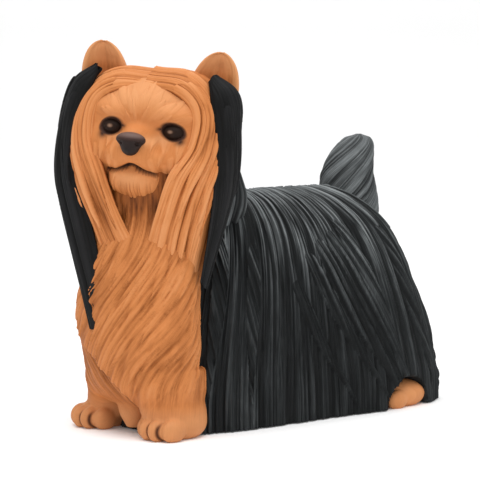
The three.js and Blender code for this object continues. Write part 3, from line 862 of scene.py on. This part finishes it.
def head_distance(p):
    """How far points of the head's frame lie outside its skin."""
    wide = np.abs(p[..., 0])
    folded = np.concatenate([wide[..., None], p[..., 1:]], -1)
    d = np.full(len(p), 1e3)
    for centre, axes, soft in HEAD_FORMS:
        d = fuse(d, ellipsoid(p, centre, axes), soft)
    for centre, axes, soft in PAIRED_FORMS:
        d = fuse(d, ellipsoid(folded, centre, axes), soft)
    from_eyes = np.stack([np.abs(p[..., 0] - EYES_TO_LEFT), p[..., 1], p[..., 2] + EYES_BELOW], -1)
    d = carve(d, ellipsoid(from_eyes, *SOCKET), 0.8)
    lips = bell((p[..., 2] - mouth_height(p[..., 0])) / 0.24)
    return d + 0.45 * lips * smooth((5 - wide) / 0.8) * (p[..., 1] < -5)


def forehead_hair(x, z):
    """Short locks combed out from between the eyes: height, and coordinates across and along them."""
    angle, radius = np.arctan2(x, z + 2.2), np.hypot(x, z + 2.2)
    height, _, fibre = lay_locks(angle * 5, radius, lock_set(91, *BROW_LOCKS), strand=0.3, groove=0.05)
    return height * smooth((z + 0.5) / 1.5), fibre, radius


def cheek_hair(x, z):
    """Short locks on the cheeks and muzzle: height, and a coordinate across them."""
    wide = np.abs(x)
    locks = lock_set(92, *CHEEK_LOCKS)
    height, _, fibre = lay_locks(x * 1.2, 0.35 * wide - z, locks, strand=0.3, groove=0.05)
    return height * smooth((-z - 1.5) / 2) * smooth((wide - 1.6) / 1.5), fibre


def eye_marks(x, z):
    """The raised lids, and the dark paint in the eyes' openings and at their corners."""
    beside, above = np.abs(x - EYES_TO_LEFT) - EYE[0], z - EYE[2] + EYES_BELOW
    almond = np.hypot(beside / 1.75, (above + 0.14 * beside) / 1.22)
    lid = bell((almond - 1.12) / 0.2) * (1 + 0.6 * smooth(above))
    opening = smooth((1.42 - almond) / 0.4)
    outer = bell((beside - 1.35) / 0.8) * bell((above + 1.35) / 0.65)
    inner = bell((beside + 2) / 0.55) * bell((above - 0.3) / 0.32)
    return lid, np.maximum.reduce([opening, outer, inner])


def face_relief(p):
    """The height of the fine sculpting over the head's forms, and the numbers that its paint reads."""
    x, y, z = p.T
    wide = np.abs(x)
    front, behind = smooth((-3 - y) / 3), smooth((y + 1) / 3)
    brow, brow_fibre, radius = forehead_hair(x, z)
    cheek, cheek_fibre = cheek_hair(x, z)
    short = (brow + cheek) * front
    chin = smooth((-9 - z) / 1.5) * front
    beard = strands(x / 30, -z, BEARD_STRANDS, 96)
    turn = np.arctan2(x, y)
    combed = strands(turn / (2 * np.pi), 8 - z, SKULL_STRANDS, 95)
    lip = bell((z - mouth_height(x)) / 0.27, 4) * smooth((5.2 - wide) / 0.5) * smooth((-5 - y) / 1.5)
    lid, around_eyes = eye_marks(x, z)

    height = short + 0.25 * lid * front - 0.15 * lip
    height += 0.5 * behind * (combed - 0.5) + 0.35 * chin * (beard - 0.6)
    dark = np.clip(np.maximum(around_eyes * front, lip), 0, 1)
    # painted light: paler on the bridge of the muzzle, the forehead and under the lip
    light = 0.5 * bell((z + 3.4 - 0.25 * wide) / 0.8) * smooth((7 - wide) / 2) * (1 - dark)
    light += 0.45 * smooth((z - 0.5) / 4)
    light += 0.45 * bell(x / 3.2) * bell((z + 9.2) / 1.2) * (1 - dark)
    # painted shade: darker beside the falls of hair and under the chin
    crest = 0.62 + 1.1 * short - 0.5 * lip - 0.12 * smooth((wide - 5) / 3) * smooth((-3 - z) / 4)
    crest = mix(crest, 0.3 + 0.4 * beard - 0.2 * smooth((-11 - z) / 2.5), chin)
    crest = mix(crest, 0.25 + 0.55 * combed, behind)
    return height, {
        "crest": np.clip(crest, 0, 1),
        "dark": dark,
        "light": np.clip(light * front, 0, 1),
        "fibre": np.where(behind > 0.5, turn * 9.5, np.where(z > -1, brow_fibre, cheek_fibre)),
        "down": np.where(behind > 0.5, 8 - z, radius),
    }


def head_piece(columns=420, rows=228):
    """The head without its ears, falls and fringes, with more of its points on the face than behind."""
    share = np.linspace(-1, 1, columns, endpoint=False)
    azimuth = np.pi * (0.45 * share + 0.55 * share**3)
    elevation = np.linspace(-1, 1, rows) * np.pi / 2 * 0.985
    rays = direction(*np.meshgrid(azimuth, elevation)).reshape(-1, 3)
    base = rays * skin_radius(head_distance, rays, HEAD_HEART, 20)[:, None] + HEAD_HEART
    height, data = face_relief(base)
    grid = on_head(base + rays * height[:, None]).reshape(rows, columns, 3)
    loft_piece("head_skin", grid, data, ["head"], "tan_paint")


# Nose and eyes

NOSE_CENTRE = np.array([0, -12.4, -3.0])
NOSE_TOP = ([0, -12.4, -2.7], [2.45, 1.5, 1.2])
NOSE_FOOT = ([0, -12.4, -3.9], [1.5, 1.3, 1.4])
NOSTRIL = ([1.6, -13.5, -3.3], [0.5, 0.6, 0.32])


def nose_distance(p):
    """How far points lie outside the nose: a broad top over a narrower foot, with two nostrils."""
    folded = np.concatenate([np.abs(p[..., :1]), p[..., 1:]], -1)
    d = fuse(ellipsoid(p, *NOSE_TOP), ellipsoid(p, *NOSE_FOOT), 0.8)
    return carve(d, ellipsoid(folded, *NOSTRIL), 0.25)


def nose_piece():
    rays = ball(140, 100)
    flat = rays.reshape(-1, 3)
    points = flat * skin_radius(nose_distance, flat, NOSE_CENTRE, 5)[:, None] + NOSE_CENTRE
    # painted highlight: the nose is paler towards its top
    crest = 0.1 + 0.8 * smooth((points[:, 2] + 3.1) / 1.3)
    data = {"crest": crest, "fibre": points[:, 0], "down": points[:, 2]}
    loft_piece("nose_leather", on_head(points).reshape(rays.shape), data, ["nose"], "nose_paint")


def eye_piece(side, word):
    middle = (EYE - [0, 0, EYES_BELOW]) * [side, 1, 1] + [EYES_TO_LEFT, 0, 0]
    points = ball(80, 60) * EYE_RADIUS * [1.15, 0.85, 0.8] + middle
    across, up = points[..., 0] - middle[0], points[..., 2] - middle[2]
    # painted highlight: a paler patch near the middle of each eye
    glint = bell((across + 0.2) / 0.6) * bell((up - 0.1) / 0.4)
    data = {"crest": 0.2 + 0.7 * glint, "fibre": points[..., 0], "down": points[..., 2]}
    loft_piece(f"eyeball_{word}", on_head(points), data, [f"eye_{word}"], "eye_paint")


# Chest, front legs and paws: columns as for the nape, and paws of [x, y, length, width, height]

CHEST_SKIN = [
    [43.5, 2.2, -22.4, 7.6, 6.2, 33],
    [40, 2.2, -22.4, 8.6, 6.4, 33],
    [34, 1.6, -22.6, 9.2, 6.8, 28],
    [28, 1, -23.4, 10.4, 7.6, 18],
    [22, 0.6, -24, 11.6, 8.2, 8],
    [17, 0.5, -24.2, 12.2, 8, 2],
    [12, 0.7, -24, 11.6, 7.6, 0],
    [8.5, 0.8, -23.6, 11.6, 7.2, 0],
    [6, 0.9, -23.2, 11, 6.2, 0],
    [4.8, 0.9, -23, 8, 4.6, 0],
]
FRONT_LEG_LEFT = [
    [11, 7, -23.4, 5.4, 6.4, 0],
    [7, 7.4, -23.2, 5.2, 6.2, 0],
    [4.4, 7.9, -22.8, 5, 5.8, 0],
    [2, 8.2, -22.4, 4.6, 5.4, 0],
]
FRONT_LEG_RIGHT = [
    [11, -6.2, -23, 5.2, 6, 0],
    [7, -6.8, -22.8, 4.6, 5.6, 0],
    [4.4, -7.4, -22.4, 4.2, 5.2, 0],
    [2, -7.6, -22, 4.2, 5, 0],
]
# hair that hangs between the front legs
BREAST_TUFT = [
    [10, 0.6, -24.4, 4.5, 3.6, 0],
    [6, 0.6, -24.9, 3.4, 3, 0],
    [3, 0.8, -25.3, 2.4, 2.2, 0],
    [1, 1, -25.6, 1.1, 1.1, 0],
]
CHEST_STRANDS = [(50, 13, 0.4), (110, 9, 0.34), (220, 6, 0.26)]
CHEST_GIRTH = 70.0
CHEST_LOCKS = (170, (-16, 24), (0, 34), (4, 11), (0.35, 0.8), (-0.85, -0.35), (0.12, 0.34), (-0.03, 0.03))
PAW_LOCKS = (40, (-8, 8), (-2, 8), (2.5, 5), (0.35, 0.6), (-0.3, 0.3), (0.1, 0.22))
FRONT_PAW = (11.4, 8.8, 5.6)
HIND_PAW = (11.0, 7.4, 4.8)
PAWS = {
    "front_left": (8.9, -23.6, *FRONT_PAW),
    "front_right": (-8.4, -23.8, *FRONT_PAW),
    "hind_left": (9.7, 27.8, *HIND_PAW),
    "hind_right": (-9.7, 27.8, *HIND_PAW),
}
TOE_SPACING = 0.235  # as a share of the paw's width


def closed_column(rows, columns, steps):
    """A column's points and faces, closed by fans of triangles, each a quad with one corner twice."""
    grid, _, _ = column(rows, columns, steps)
    points = np.vstack([grid.reshape(-1, 3), grid[0].mean(0), grid[-1].mean(0)])
    here = np.arange(columns)
    beside = (here + 1) % columns
    rim = (steps - 1) * columns
    first, last = (np.full(columns, steps * columns + k) for k in (0, 1))
    foot = np.stack([first, beside, here, here], -1)
    top = np.stack([last, rim + here, rim + beside, rim + beside], -1)
    return points, np.concatenate([grid_faces(steps, columns, True), foot, top])


def paw_form(paw):
    """The distance function of a paw: a rounded foot run into four toes."""
    x, y, length, width, height = paw

    def distance(p):
        d = ellipsoid(p, [x, y + length * 0.08, height * 0.42], [width * 0.47, length * 0.46, height * 0.56])
        for n in (-1.5, -0.5, 0.5, 1.5):
            tip = [x + n * width * TOE_SPACING, y - length * (0.36 - 0.07 * abs(n) ** 1.5), height * 0.3]
            d = fuse(d, ellipsoid(p, tip, [width * 0.155, length * 0.2, height * 0.36]), 0.35)
        return d

    return distance


def paw_points(paw):
    """A paw's points and faces, flat on the ground."""
    x, y, length, _, height = paw
    centre = np.array([x, y - length * 0.04, height * 0.38])
    rays = ball(220, 160)
    flat = rays.reshape(-1, 3)
    points = flat * skin_radius(paw_form(paw), flat, centre, length)[:, None] + centre
    points[:, 2] = np.maximum(points[:, 2], 0.0)
    return points, grid_faces(*rays.shape[:2], True)


def remeshed(parts, voxel, smoothing):
    """The shared outer skin of several closed parts, as points, normals and faces."""
    points, faces, count = [], [], 0
    for part_points, part_faces in parts:
        points.append(part_points)
        faces.append(part_faces + count)
        count += len(part_points)
    mesh = bpy.data.meshes.new("parts")
    corners = [tuple(dict.fromkeys(face)) for face in np.vstack(faces).tolist()]
    mesh.from_pydata(np.vstack(points).tolist(), [], corners)
    whole = linked("parts", mesh)
    remesh = whole.modifiers.new("remesh", "REMESH")
    remesh.mode = "VOXEL"
    remesh.voxel_size = voxel
    relax = whole.modifiers.new("smooth", "SMOOTH")
    relax.factor = 0.5
    relax.iterations = smoothing
    skin = whole.evaluated_get(bpy.context.evaluated_depsgraph_get()).to_mesh()
    points, normals = np.empty((2, len(skin.vertices) * 3))
    skin.vertices.foreach_get("co", points)
    skin.vertices.foreach_get("normal", normals)
    faces = np.empty(len(skin.loops), int)
    skin.loops.foreach_get("vertex_index", faces)
    bpy.data.objects.remove(whole)
    return points.reshape(-1, 3), normals.reshape(-1, 3), faces.reshape(-1, 4)


def chest_flow(around, down, over):
    """A coordinate that stays the same along a strand of the chest, however the strand sweeps."""
    steps = np.linspace(0, 46, 200)
    slope = mix(0.1, 0.85, smooth((steps - 6) / 12)) * mix(1, 0.1, smooth((steps - 30) / 9))
    swept = np.interp(down, steps, np.cumsum(slope) * steps[1])
    return np.where(over > 0, around + swept, around - 0.9 * (down - 14) + 40)


def chest_relief(p):
    """The height and crest of the chest's hair, and coordinates across and down its strands.

    It sweeps across to the dog's right, over hair that runs the other way down the right leg.
    """
    around = np.arctan2(p[:, 0] - 0.6, -(p[:, 1] + 22)) * 11
    down = 44 - p[:, 2]
    over = around - mix(-17, 7, smooth((down - 18) / 24))
    flow = chest_flow(around, down, over)
    fine = strands(flow / CHEST_GIRTH, down, CHEST_STRANDS, 101, sway=0.5)
    laid, _, _ = lay_locks(around, down, lock_set(102, *CHEST_LOCKS), groove=0.0)
    laid = np.where(over > 0, laid, 0)
    step = 0.5 * smooth(over / 0.8) * smooth((down - 24) / 6)
    # painted shade along the edge where the chest's locks lie over the right leg
    groove = bell(over / 0.35) * smooth((down - 24) / 6)
    throat = 1.2 * smooth((9 - down) / 7)
    # calm on the feet and under the chin
    low = mix(0.25, 1, smooth((p[:, 2] - 4.5) / 4)) * smooth((p[:, 2] - 0.4) / 1.5)
    height = (0.4 * fine + 0.8 * laid + step) * low * smooth(down / 8) + throat
    # painted shade under the chin, and down the side of the right leg below the chest's locks
    shadow = 0.3 * smooth((12 - down) / 6) + 0.08 * smooth(-over) * smooth((down - 24) / 4) * low
    crest = mix(0.56, 0.18 + 0.48 * fine + 0.5 * laid, low) - 0.4 * groove - shadow
    return height, crest, flow, down


def toe_shade(p, paw):
    """Painted shade between the toes."""
    x, y, length, width, _ = paw
    lines = sum(bell((p[:, 0] - x - n * width * TOE_SPACING) / 0.16) for n in (-1, 0, 1))
    return np.clip(lines, 0, 1) * smooth((y - length * 0.3 - p[:, 1]) / 0.6) * smooth((3.4 - p[:, 2]) / 1.2)


def chest_piece():
    """The chest, its tuft, the front legs and their paws as one skin."""
    left, right = PAWS["front_left"], PAWS["front_right"]
    parts = [
        closed_column(CHEST_SKIN, 220, 150),
        closed_column(FRONT_LEG_LEFT, 120, 50),
        closed_column(FRONT_LEG_RIGHT, 120, 50),
        closed_column(BREAST_TUFT, 90, 40),
        paw_points(left),
        paw_points(right),
    ]
    points, normals, faces = remeshed(parts, voxel=0.235, smoothing=8)
    height, crest, fibre, down = chest_relief(points)
    shaped = points + normals * ((height - 0.5) * smooth((points[:, 2] - 4) / 3))[:, None]
    shaped[:, 2] = np.maximum(shaped[:, 2], 0)
    toes = toe_shade(points, left) + toe_shade(points, right)
    data = {
        "crest": np.clip(crest - 0.5 * toes, 0, 1),
        "dark": 0.6 * toes,
        "light": 0.4 * smooth((6 - points[:, 2]) / 3) * (1 - toes),
        "fibre": fibre,
        "down": down,
    }
    mesh_piece("chest_skin", shaped, faces, data, ["chest", "front_leg_left", "front_leg_right"], "tan_paint")


def hind_paw_piece(word):
    paw = PAWS[f"hind_{word}"]
    points, faces = paw_points(paw)
    toes = toe_shade(points, paw)
    across, down = points[:, 0] - paw[0], points[:, 1] - paw[1] + 6
    height, _, fibre = lay_locks(across, down, lock_set(111, *PAW_LOCKS), strand=0.3, groove=0.05)
    data = {
        "crest": np.clip(0.6 + height - 0.5 * toes, 0, 1),
        "dark": 0.5 * toes,
        "light": 0.35 * (1 - toes),
        "fibre": fibre,
        "down": points[:, 1],
    }
    faces, _ = outward_faces(points, faces)
    mesh_piece(f"hind_paw_{word}", points, faces, data, [f"hind_leg_{word}"], "tan_paint")


# The pieces

for side, word in SIDES:
    coat_panel(side, word)
    fall_piece(side, word)
    fringe_piece(side, word)
    ear_piece(side, word)
    eye_piece(side, word)
    hind_paw_piece(word)
nape_piece()
tail_piece()
head_piece()
nose_piece()
chest_piece()


# Floor, light and camera

CAMERA_AZIMUTH, CAMERA_ELEVATION = np.radians(48), np.radians(5)
CAMERA_PLACE = np.array([291.87, -263.78, 64.83])
FOCAL_PIXELS, IMAGE_PIXELS, SENSOR = 2300, 480, 36
WORLD_STRENGTH = 0.54
FLOOR_PAINT = {
    "Base Color": (0.97, 0.97, 0.97, 1),
    "Roughness": 0.9,
    "Specular IOR Level": 0.1,
    "Emission Color": (1, 1, 1, 1),
    "Emission Strength": 0.05,
}
SWEEP_HALF_WIDTH = 1500
# the sweep's profile, in rows of [distance away from the camera, height]
SWEEP = np.array([
    [-900, 0], [-300, 0], [0, 0], [300, 0], [500, 0], [640, 20],
    [740, 70], [800, 150], [820, 260], [820, 600], [820, 1200],
])
# rows of [name, azimuth and elevation in degrees, distance in millimetres, size in metres, power in watts]
LIGHTS = [
    ("overhead", 40, 78, 700, 0.7, 4.8),
    ("front", 75, 35, 800, 0.6, 1.0),
    ("side", -20, 25, 900, 0.5, 0.5),
]


def studio_floor():
    """A pale sweep: a floor that curves up into a wall behind the figure, square to the camera."""
    beside = np.array([np.cos(CAMERA_AZIMUTH), np.sin(CAMERA_AZIMUTH), 0])
    away = np.array([-np.sin(CAMERA_AZIMUTH), np.cos(CAMERA_AZIMUTH), 0])
    profile = SWEEP[:, :1] * away + SWEEP[:, 1:] * np.array([0, 0, 1])
    grid = profile[:, None] + beside * np.array([-SWEEP_HALF_WIDTH, SWEEP_HALF_WIDTH])[:, None]
    mesh = bpy.data.meshes.new("floor")
    mesh.from_pydata((grid.reshape(-1, 3) * MM).tolist(), [], grid_faces(len(SWEEP), 2, False).tolist())
    mesh.polygons.foreach_set("use_smooth", np.ones(len(mesh.polygons), bool))
    floor = linked("floor", mesh)
    material = bpy.data.materials.new("floor")
    material.use_nodes = True
    shader = material.node_tree.nodes["Principled BSDF"]
    for key, value in FLOOR_PAINT.items():
        shader.inputs[key].default_value = value
    mesh.materials.append(material)


def area_light(name, azimuth, elevation, distance, size, power):
    """A square light aimed at the figure's middle, from a direction given in degrees as the camera's is."""
    azimuth, elevation = np.radians(azimuth), np.radians(elevation)
    light = bpy.data.lights.new(name, "AREA")
    light.size = size
    light.energy = power
    back = direction(azimuth, elevation)
    place(linked(name, light), back, azimuth, (np.array([0, 0, 30]) + back * distance) * MM)


def place(thing, back, azimuth, where):
    """Stands a lamp or a camera level at a place, with its back turned towards the given direction."""
    right = np.array([np.cos(azimuth), np.sin(azimuth), 0])
    axes = np.stack([right, np.cross(back, right), back, where], -1)
    thing.matrix_world = Matrix([*axes.tolist(), [0, 0, 0, 1]])


def camera():
    data = bpy.data.cameras.new("camera")
    data.sensor_width = SENSOR
    data.lens = FOCAL_PIXELS / IMAGE_PIXELS * SENSOR
    data.clip_start, data.clip_end = 0.01, 10
    made = linked("camera", data)
    back = direction(CAMERA_AZIMUTH, CAMERA_ELEVATION)
    place(made, back, CAMERA_AZIMUTH, (CAMERA_PLACE + SHIFT) * MM)
    bpy.context.scene.camera = made


studio_floor()
for light in LIGHTS:
    area_light(*light)
world = bpy.data.worlds.new("studio")
world.use_nodes = True
background = world.node_tree.nodes["Background"]
background.inputs["Color"].default_value = (1, 1, 1, 1)
background.inputs["Strength"].default_value = WORLD_STRENGTH
bpy.context.scene.world = world
bpy.context.scene.view_settings.view_transform = "Standard"
camera()
